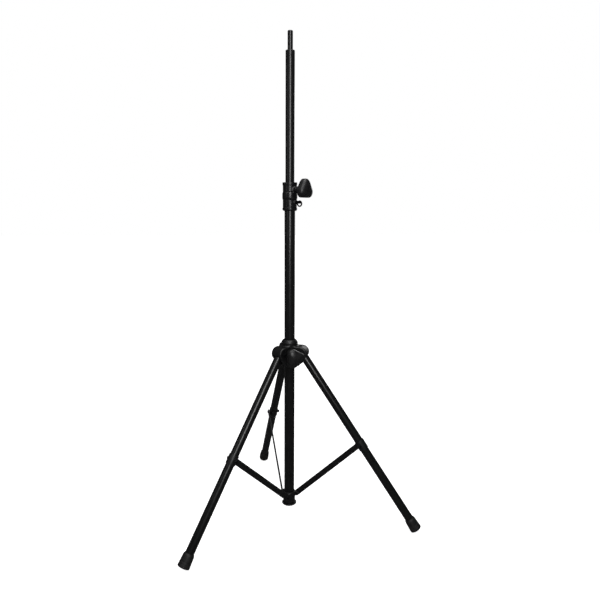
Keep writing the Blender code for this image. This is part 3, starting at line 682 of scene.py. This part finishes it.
def slab(outline, low, high, edge=0.0):
    """An outline in x and z given a thickness along y. Near each face it is drawn in along its own
    normals by the edge less the edge's sine, so that its rims are quarter rounds."""
    outline = np.asarray(outline, float)
    ahead = np.roll(outline, -1, axis=0) - np.roll(outline, 1, axis=0)
    ahead /= np.linalg.norm(ahead, axis=1, keepdims=True)
    outer = np.stack([ahead[:, 1], -ahead[:, 0]], axis=1)
    swing = np.radians(np.linspace(0, 90, 5 if edge else 1))
    inset = np.concatenate([edge * (1 - np.sin(swing)), edge * (1 - np.sin(swing))[::-1]])
    drop = edge * (1 - np.cos(swing))
    height = np.concatenate([low + drop, (high - drop)[::-1]])
    rows = outline[None] - outer[None] * inset[:, None, None]
    middle = np.broadcast_to(outline.mean(axis=0), (1, *outline.shape))
    rows = np.concatenate([middle, rows, middle])
    height = np.concatenate([[low], height, [high]])[:, None] + 0 * rows[..., 0]
    return skin(np.stack([rows[..., 0], height, rows[..., 1]], axis=-1))


pin = make("safety_pin_turned", turned(rounded(
    [(0, mast_r + GAP), (PIN_R, mast_r + GAP), (PIN_R, FORK_START), (FORK_R, FORK_START),
     (FORK_R, PIN_END), (0, PIN_END)],
    (0, 0.0006, 0.0001, 0.0004, 0.0016, 0), closed=False)), pin_place)
rod_place = axes_at(pin_place[0] + collar_out * ROD_AT, -UP, collar_round)
cut(pin, (slab([(-0.02, SLOT_FLOOR), (0.02, SLOT_FLOOR), (0.02, 0.06), (-0.02, 0.06)],
               -FORK_SLOT / 2, FORK_SLOT / 2), pin_place),
    (rod(ROD_R + GAP, -0.01, 0.01), rod_place))
fit(pin, "safety_pin", dark_steel, "black_steel", "safety_pin")
fit(make("ring_rod", rod(ROD_R, -ROD_HALF, ROD_HALF, 32, 0.0003), rod_place),
    "safety_pin", dark_steel, "black_steel", "pin_cross_rod")


def wire_ring(radius, wire, drop):
    """A torus: a circle of the wire's radius carried round a circle that hangs by drop."""
    around, across = np.meshgrid(np.linspace(0, 2 * math.pi, 96, endpoint=False),
                                 np.linspace(0, 2 * math.pi, 24, endpoint=False), indexing="ij")
    reach = radius + wire * np.cos(across)
    return skin(np.stack([drop + reach * np.cos(around), wire * np.sin(across),
                          reach * np.sin(around)], axis=-1), closed=True)


ring_place = axes_at(pin_place[0] + collar_out * ROD_AT, -UP, collar_out)
fit(make("pull_ring_wire", wire_ring(RING_R, WIRE_R, RING_R - WIRE_R - ROD_R - GAP), ring_place),
    "pull_ring", dark_steel, "black_steel", "pull_ring")


# ---- Sliding hub --------------------------------------------------------------------------------
# One large moulding in glass-filled nylon slides on the outer tube. Three rounded lobes are cored out
# for the tops of the legs, and a boss takes the clamp's screw. A thin nylon liner runs on the tube.
HUB_STEP, HUB_R, HUB_FILLET, HUB_BORE_R, LINER_R = 0.0013, 0.0335, 0.0070, 0.0236, 0.0233
LOBE_HALF, POCKET_HALF, ROOF_IN, ROOF_OUT, LOBE_BOTTOM = 0.0270, 0.0183, 0.0185, 0.0270, 0.6620
HUB_BOSS_R, HUB_BOSS_START, HUB_BOSS_END = 0.0150, 0.026, 0.0485
PIVOT_HOLE_R, LOBE_EDGE, HUB_PAD_END = 0.0043, 0.0055, 0.0018
hub_low, hub_high = box("hub_casting")
hub_bottom, hub_top = hub_low[2], hub_high[2]
pivot = np.array(joints["leg_fold_rear"]["pos_m"], float) - column
pivot_r, pivot_z = math.hypot(pivot[0], pivot[1]), pivot[2]
hub_round = np.cross(UP, hub_out)
LEG_TILT = math.radians(34.5)


def swung(centre, radius, first, last, steps):
    """Points of an arc in x and z."""
    angle = np.radians(np.linspace(first, last, steps + 1))
    return [(centre[0] + radius * math.cos(a), centre[1] + radius * math.sin(a)) for a in angle]


HUB_PROFILE = rounded([(0, hub_bottom), (HUB_R, hub_bottom), (HUB_R, hub_top - 0.0105),
                       (0.0318, hub_top - 0.0072), (0.0290, hub_top - 0.0028), (0.0262, hub_top),
                       (0, hub_top)], (0, 0.003, 0.003, 0.002, 0.002, 0.001, 0), closed=False, steps=3)
LOBE_OUTLINE = [(0.0250, LOBE_BOTTOM), (0.0450, LOBE_BOTTOM),
                *swung((pivot_r, pivot_z), ROOF_OUT, -45, 90, 14), (0.0250, pivot_z + ROOF_OUT)]
POCKET_OUTLINE = [(pivot_r - ROOF_IN, pivot_z - 0.080),
                  (pivot_r + ROOF_IN * math.cos(LEG_TILT) + 0.1 * math.sin(LEG_TILT),
                   pivot_z + ROOF_IN * math.sin(LEG_TILT) - 0.1 * math.cos(LEG_TILT)),
                  *swung((pivot_r, pivot_z), ROOF_IN, math.degrees(LEG_TILT), 180, 14)]


def hub_field(p):
    """The barrel's profile with the lobes and the boss blended in, less the legs' pockets, the
    tube's bore, the pivots' holes and the screw's hole."""
    u, t = folded(p)
    z, out, side = p[..., 2], p @ hub_out, p @ hub_round
    body = outline_distance(np.hypot(u, t), z, HUB_PROFILE)
    lobe = thick(outline_distance(u, z, LOBE_OUTLINE), t, LOBE_HALF, LOBE_EDGE)
    body = blend(body, lobe, HUB_FILLET)
    boss = bar_distance(side, z - hub_knob_z, out, HUB_BOSS_R, HUB_BOSS_START, HUB_BOSS_END, 0.002)
    body = blend(body, boss, 0.004)
    pocket = thick(outline_distance(u, z, POCKET_OUTLINE), t, POCKET_HALF, 0.0015)
    bolt = np.hypot(u - pivot_r, z - pivot_z) - PIVOT_HOLE_R
    screw = np.maximum(np.hypot(side, z - hub_knob_z) - SCREW_HOLE_R, -out)
    return np.maximum(body, -np.minimum.reduce([pocket, np.hypot(u, t) - HUB_BORE_R, bolt, screw]))


wide = pivot_r + ROOF_OUT + 0.003
fit(make("hub_moulding", moulded(hub_field, (-wide, -wide, hub_bottom - 0.002),
                                 (wide, wide, hub_top + 0.003), HUB_STEP), column_place),
    "hub", textured_nylon, "moulding", "hub_casting")
liner_low, liner_high = box("hub_liner")
liner_wall = tube(outer_r + GAP, LINER_R, liner_low[2], liner_high[2])
liner = make("hub_liner_turned", liner_wall, column_place)
cut(liner, (rod(WINDOW_R, WALL_IN, WALL_OUT), hub_knob_place))
fit(liner, "hub", slick_nylon, "nylon", "hub_liner")
hub_pad = rod(PAD_R, outer_r + GAP, outer_r + HUB_PAD_END, edge=0.0003)
fit(make("hub_pad_turned", hub_pad, hub_knob_place),
    "hub", slick_nylon, "nylon", "hub_pressure_pad")


# ---- Leg pivots ---------------------------------------------------------------------------------
# An 8 mm hexagon bolt crosses each lobe of the hub and the top of its leg, with a nut on the far side.
# Heads and nuts are chamfered where the bar they are cut from was turned.
BOLT_R, HEX_R, HEAD_HEIGHT, NUT_HEIGHT, BEYOND = 0.0040, 0.0070, 0.0050, 0.0065, 0.0080
CHAMFER, FACE_SHARE = 0.0006, 0.90


def hexagonal(profile, corner, closed=False):
    """A profile of (radius, height) carried round Z and held within a hexagon: its flats stand at the
    corner radius times the cosine of 30 degrees, over the cosine of the angle from their middle."""
    profile = np.asarray(profile, float)
    angle = np.linspace(0, 2 * math.pi, 72, endpoint=False)
    flat = corner * math.cos(math.pi / 6) / np.cos(np.mod(angle, math.pi / 3) - math.pi / 6)
    radius = np.minimum(profile[:, :1], flat)
    return skin(np.stack([radius * np.cos(angle), radius * np.sin(angle),
                          profile[:, 1:] + 0 * angle], axis=-1), closed)


def nut(bore, corner, low, high):
    """A hexagon nut whose corners are chamfered at both faces."""
    face = corner * FACE_SHARE
    return hexagonal([(bore, low), (face, low), (corner, low + CHAMFER), (corner, high - CHAMFER),
                      (face, high), (bore, high)], corner, closed=True)


for name in leg_names:
    out, spoke_round = spokes[name]
    across_place = axes_at(column + out * pivot_r + UP * pivot_z, out, spoke_round)
    head = LOBE_HALF + GAP
    fit(make(f"pivot_bolt_{name}_hex", hexagonal(
        [(0, -head - BEYOND), (BOLT_R - CHAMFER, -head - BEYOND), (BOLT_R, -head - BEYOND + CHAMFER),
         (BOLT_R, head), (HEX_R, head), (HEX_R, head + HEAD_HEIGHT - CHAMFER),
         (HEX_R * FACE_SHARE, head + HEAD_HEIGHT), (0, head + HEAD_HEIGHT)], HEX_R), across_place),
        "hub", dark_steel, "black_steel", f"pivot_bolt_{name}")
    pivot_nut = nut(BOLT_R + GAP, HEX_R, -head - NUT_HEIGHT, -head)
    fit(make(f"pivot_nut_{name}_hex", pivot_nut, across_place),
        "hub", dark_steel, "black_steel", f"pivot_nut_{name}")


# ---- Legs ---------------------------------------------------------------------------------------
# Each leg is a 34 mm powder-coated tube with a domed nylon plug in its top. A nylon sleeve with a
# boss is pushed round it for the brace, held by a bolt through the tube. A ribbed rubber foot is
# pushed over the end and has worn flat where it stands on the floor.
LEG_R, ABOVE_PIVOT, PLUG_BELOW, DOME_R, LEG_HOLE_R = 0.0170, 0.0060, 0.0300, 0.0176, 0.0044
BRACKET_AT, SLEEVE_R, SLEEVE_HALF = 0.4462, 0.0195, 0.0190
BRACKET_BOSS_R, BRACKET_BOSS_IN = 0.0085, 0.0172
BESIDE, BRACE_BOLT_R, BRACE_HEAD_R, LEG_END_Z = 0.0213, 0.0030, 0.0065, 0.0116
FOOT_LENGTH, FOOT_FLOOR, FOOT_TOP_R, FOOT_END_R, FOOT_RAMP = 0.0515, 0.0120, 0.0213, 0.0235, 0.0070
leg_end = -(pivot_z - LEG_END_Z) / math.cos(LEG_TILT)
mouth = leg_end + FOOT_LENGTH


def rubber():
    """Moulded black rubber: quite matt, a fine bloom over it and pale dust where it lies lightly."""
    material, tree, gum, place = begin_material("matt_black_rubber")
    dust = clouds(tree, place, 1 / (15 * MM), 6.0)
    grain = clouds(tree, place, 1 / (0.8 * MM), 2.0)
    lies = remapped(tree, dust, 0.45, 0.75, 0.0, 0.35)
    tint = between(tree, lies, "#080808", "#1C1B1A")
    bump = relief(tree, grain, 0.4, 0.05 * MM)
    tree.links.new(tint, gum.inputs["Base Color"])
    tree.links.new(bump, gum.inputs["Normal"])
    gum.inputs["Roughness"].default_value = 0.62
    return material


FOOT_PROFILE = rounded(
    [(0, leg_end), (FOOT_END_R, leg_end), (FOOT_END_R - 0.0003, leg_end + 0.0110),
     (FOOT_END_R - 0.0014, leg_end + 0.0118), (FOOT_END_R - 0.0014, leg_end + 0.0135),
     (FOOT_END_R - 0.0006, leg_end + 0.0143), (FOOT_END_R - 0.0009, leg_end + 0.0205),
     (FOOT_END_R - 0.0020, leg_end + 0.0213), (FOOT_END_R - 0.0020, leg_end + 0.0230),
     (FOOT_END_R - 0.0012, leg_end + 0.0238), (FOOT_TOP_R, mouth - FOOT_RAMP),
     (LEG_R + 0.0014, mouth), (LEG_R + GAP, mouth), (LEG_R + GAP, leg_end + FOOT_FLOOR),
     (0, leg_end + FOOT_FLOOR)],
    (0, 0.0030, 0.0005, 0.0004, 0.0004, 0.0005, 0.0005, 0.0004, 0.0004, 0.0005, 0.0020, 0.0005,
     0.0002, 0, 0), closed=False)
foot_rubber = rubber()
for name in leg_names:
    out, spoke_round = spokes[name]
    tilted = out * math.cos(LEG_TILT) + UP * math.sin(LEG_TILT)
    leg_up = UP * math.cos(LEG_TILT) - out * math.sin(LEG_TILT)
    hinge = column + out * pivot_r + UP * pivot_z
    leg_place = axes_at(hinge, tilted, leg_up)
    hinge_place = axes_at(hinge, tilted, spoke_round)
    bracket_place = axes_at(hinge - leg_up * BRACKET_AT, tilted, spoke_round)
    body = f"leg_{name}"
    leg_tube = make(f"leg_{name}_tube_coated",
                    tube(LEG_R - TUBE_WALL, LEG_R, leg_end + FOOT_FLOOR + GAP, ABOVE_PIVOT), leg_place)
    cut(leg_tube, (rod(LEG_HOLE_R, -THROUGH_TUBE, THROUGH_TUBE), hinge_place),
        (rod(BRACE_BOLT_R + GAP, -THROUGH_SLEEVE, THROUGH_SLEEVE), bracket_place))
    fit(leg_tube, body, steel_tube, "powder_coat", f"leg_tube_{name}")
    bore = LEG_R - TUBE_WALL - GAP
    lip = math.degrees(math.asin((ABOVE_PIVOT + GAP) / DOME_R))
    leg_plug = make(f"leg_{name}_plug_moulding", turned(
        [(0, -PLUG_BELOW), (bore - 0.001, -PLUG_BELOW), (bore, -PLUG_BELOW + 0.001),
         (bore, ABOVE_PIVOT + GAP), *swung((0, 0), DOME_R, lip, 90, 12)]), leg_place)
    cut(leg_plug, (rod(LEG_HOLE_R, -THROUGH_TUBE, THROUGH_TUBE), hinge_place))
    fit(leg_plug, body, textured_nylon, "moulding", f"leg_plug_{name}")
    low, high = -BRACKET_AT - SLEEVE_HALF, -BRACKET_AT + SLEEVE_HALF
    sleeve = tube(LEG_R + GAP, SLEEVE_R, low, high, 0.0008)
    boss = rod(BRACKET_BOSS_R, BRACKET_BOSS_IN, BESIDE, edge=0.0008)
    bracket = make(f"leg_{name}_bracket_moulding", sleeve, leg_place)
    cut(bracket, (boss, bracket_place), operation="UNION")
    cut(bracket, (rod(BRACE_BOLT_R + GAP, -THROUGH_SLEEVE, THROUGH_SLEEVE), bracket_place))
    fit(bracket, body, textured_nylon, "moulding", f"leg_bracket_{name}")
    nut_face, nut_end = -SLEEVE_R - GAP, -SLEEVE_R - 0.0075
    shank = rod(BRACE_BOLT_R, nut_end - 0.0015, BESIDE - GAP, edge=0.0005)
    fit(make(f"leg_{name}_bolt", shank, bracket_place),
        body, dark_steel, "black_steel", f"bracket_bolt_{name}")
    locknut = nut(BRACE_BOLT_R + GAP, BRACE_HEAD_R, nut_end, nut_face)
    fit(make(f"leg_{name}_nut_hex", locknut, bracket_place),
        body, dark_steel, "black_steel", f"bracket_nut_{name}")
    points, faces = turned(FOOT_PROFILE)
    points = points @ leg_place[1] + leg_place[0]
    points[:, 2] = np.maximum(points[:, 2], 0)
    fit(make(f"foot_{name}_moulded", (points, faces)), body, foot_rubber, "rubber", f"foot_{name}")


# ---- Braces -------------------------------------------------------------------------------------
# Each brace is a flat steel bar, 24 mm wide with full round ends, punched at both and powder coated.
# Button-head bolts hold it to the ring on the column and to the sleeve on the leg.
BRACE_WIDTH, BRACE_IN, BRACE_OUT = 0.0240, 0.0216, 0.0246
BRACE_HEAD_END, BRACE_HOLE_R, KEY_R, KEY_DEPTH = 0.0290, 0.0034, 0.0019, 0.0018
bracket_r = pivot_r + BRACKET_AT * math.sin(LEG_TILT)
bracket_z = pivot_z - BRACKET_AT * math.cos(LEG_TILT)
brace_tilt = math.atan2(bracket_r - brace_foot_r, bracket_z - brace_foot_z)
brace_length = math.hypot(bracket_r - brace_foot_r, bracket_z - brace_foot_z)


def button_bolt(low, face, top):
    """A bolt with a low domed head, a quarter ellipse, and a round recess for its key."""
    swing = np.radians(np.linspace(0, 66, 9))
    head = [(BRACE_HEAD_R * math.cos(a) ** 0.7,
             face + 0.0006 + (top - face - 0.0006) * math.sin(a) / 0.9136) for a in swing]
    return turned([(0, low), (BRACE_BOLT_R - 0.0005, low), (BRACE_BOLT_R, low + 0.0005),
                   (BRACE_BOLT_R, face), (BRACE_HEAD_R, face), *head, (KEY_R, top),
                   (KEY_R, top - KEY_DEPTH), (0, top - KEY_DEPTH)], 64)


for name in leg_names:
    out, spoke_round = spokes[name]
    down = out * math.cos(brace_tilt) - UP * math.sin(brace_tilt)
    along = out * math.sin(brace_tilt) + UP * math.cos(brace_tilt)
    foot_pin = column + out * brace_foot_r + UP * brace_foot_z
    bar_place = axes_at(foot_pin, down, along)
    low_place = axes_at(foot_pin, down, spoke_round)
    high_place = axes_at(foot_pin + along * brace_length, down, spoke_round)
    half = BRACE_WIDTH / 2
    bar = make(f"brace_{name}_bar_coated", slab([*swung((0, 0), half, 180, 360, 24),
                                                 *swung((0, brace_length), half, 0, 180, 24)],
                                                BRACE_IN, BRACE_OUT, 0.0006), bar_place)
    cut(bar, (rod(BRACE_HOLE_R, WALL_IN, WALL_OUT), low_place),
        (rod(BRACE_BOLT_R + GAP, WALL_IN, WALL_OUT), high_place))
    fit(bar, f"brace_{name}", steel_tube, "powder_coat", f"brace_bar_{name}")
    face = BRACE_OUT + GAP
    fit(make(f"brace_{name}_low_bolt", button_bolt(LUG_IN - 0.002, face, face + 0.0035), low_place),
        "column", dark_steel, "black_steel", f"brace_foot_bolt_{name}")
    fit(make(f"brace_{name}_high_bolt", button_bolt(BRACE_IN, face, BRACE_HEAD_END), high_place),
        f"brace_{name}", dark_steel, "black_steel", f"brace_top_bolt_{name}")
